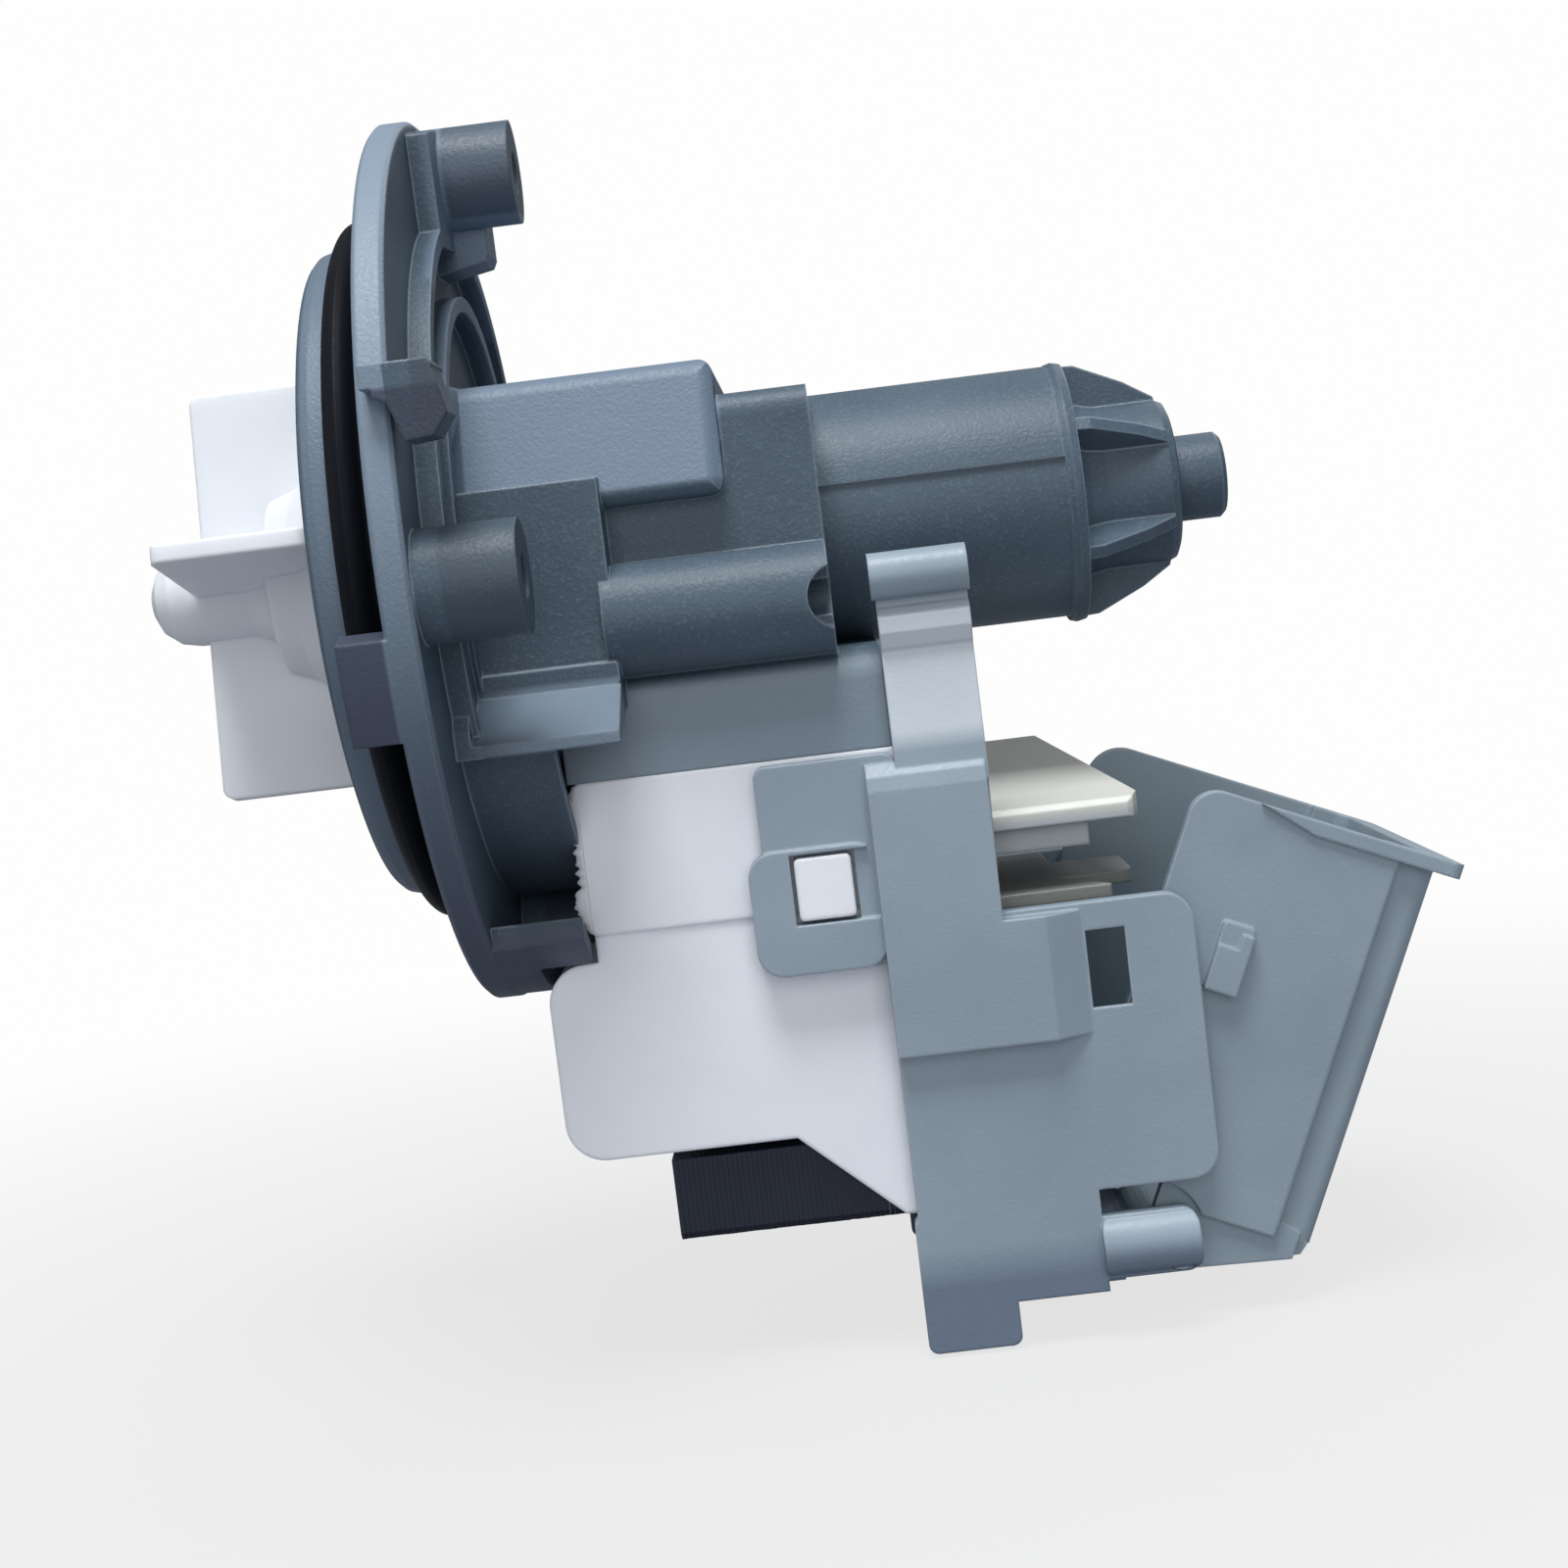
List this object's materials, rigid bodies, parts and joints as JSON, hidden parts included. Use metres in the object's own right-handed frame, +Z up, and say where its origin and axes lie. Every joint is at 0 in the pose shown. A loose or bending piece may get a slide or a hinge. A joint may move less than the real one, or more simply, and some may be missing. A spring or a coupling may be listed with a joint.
{
  "type": "washer drain pump",
  "caption": "Drain pump for a washing machine: bladed impeller in front of a round flange, magnet rotor in a long can, coils below and a hinged connector lid.",
  "frame": {"origin": "On the rotor axis, in the front face of the flange.", "axes": "+X along the rotor axis from the impeller to the rear nub, +Z up away from the coils, +Y to the far side of the pictured view."},
  "size_m": [0.131, 0.0926, 0.13],
  "materials": {
    "housing_grey": "satin moulded glass-filled plastic",
    "seal_rubber": "smooth black rubber",
    "mount_rubber": "dull rubber",
    "bush_bronze": "sintered, dull",
    "lamination_steel": "stacked sheets under dark lacquer",
    "bobbin_plastic": "plain moulded",
    "winding_copper": "enamelled copper wire",
    "coil_white": "smooth white moulding, slightly translucent",
    "cutout_enamel": "enamelled can",
    "block_beige": "plain beige moulding",
    "tab_tin": "tinned sheet",
    "cover_grey": "light blue-grey satin moulding",
    "shaft_steel": "ground",
    "magnet_ferrite": "dull sintered ferrite",
    "washer_plastic": "plain moulded",
    "impeller_white": "smooth white moulding",
    "lid_grey": "blue-grey satin moulding"
  },
  "bodies": {
    "housing": {"pump_housing": "housing_grey", "seal_ring": "seal_rubber", "bearing_plate": "housing_grey", "shaft_seal": "mount_rubber", "front_bush": "bush_bronze", "rear_bush": "bush_bronze", "front_bush_mount": "mount_rubber", "rear_bush_mount": "mount_rubber", "stator_legs": "lamination_steel", "stator_yoke": "lamination_steel", "near_bobbin": "bobbin_plastic", "far_bobbin": "bobbin_plastic", "near_winding": "winding_copper", "far_winding": "winding_copper", "coil_cover": "coil_white", "thermal_cutout": "cutout_enamel", "winding_leads": "winding_copper", "terminal_block": "block_beige", "terminal_tabs": "tab_tin", "terminal_cover": "cover_grey"},
    "rotor": {"rotor_shaft": "shaft_steel", "rotor_magnet": "magnet_ferrite", "magnet_carrier": "bobbin_plastic", "front_washer": "washer_plastic", "rear_washer": "washer_plastic", "drive_dog": "washer_plastic"},
    "impeller": {"impeller": "impeller_white", "impeller_cap": "impeller_white"},
    "lid": {"lid": "lid_grey"}
  },
  "joints": [
    {"name": "rotor_spin", "type": "hinge", "parent": "housing", "child": "rotor", "pos_m": [0, 0, 0], "axis": [1, 0, 0], "continuous": true},
    {"name": "impeller_swing", "type": "hinge", "parent": "rotor", "child": "impeller", "pos_m": [-0.014, 0, 0], "axis": [1, 0, 0], "range_deg": [-127, 127]},
    {"name": "lid_hinge", "type": "hinge", "parent": "housing", "child": "lid", "pos_m": [0.0667, 0, -0.0762], "axis": [0, 1, 0], "range_deg": [-24, 60]}
  ]
}
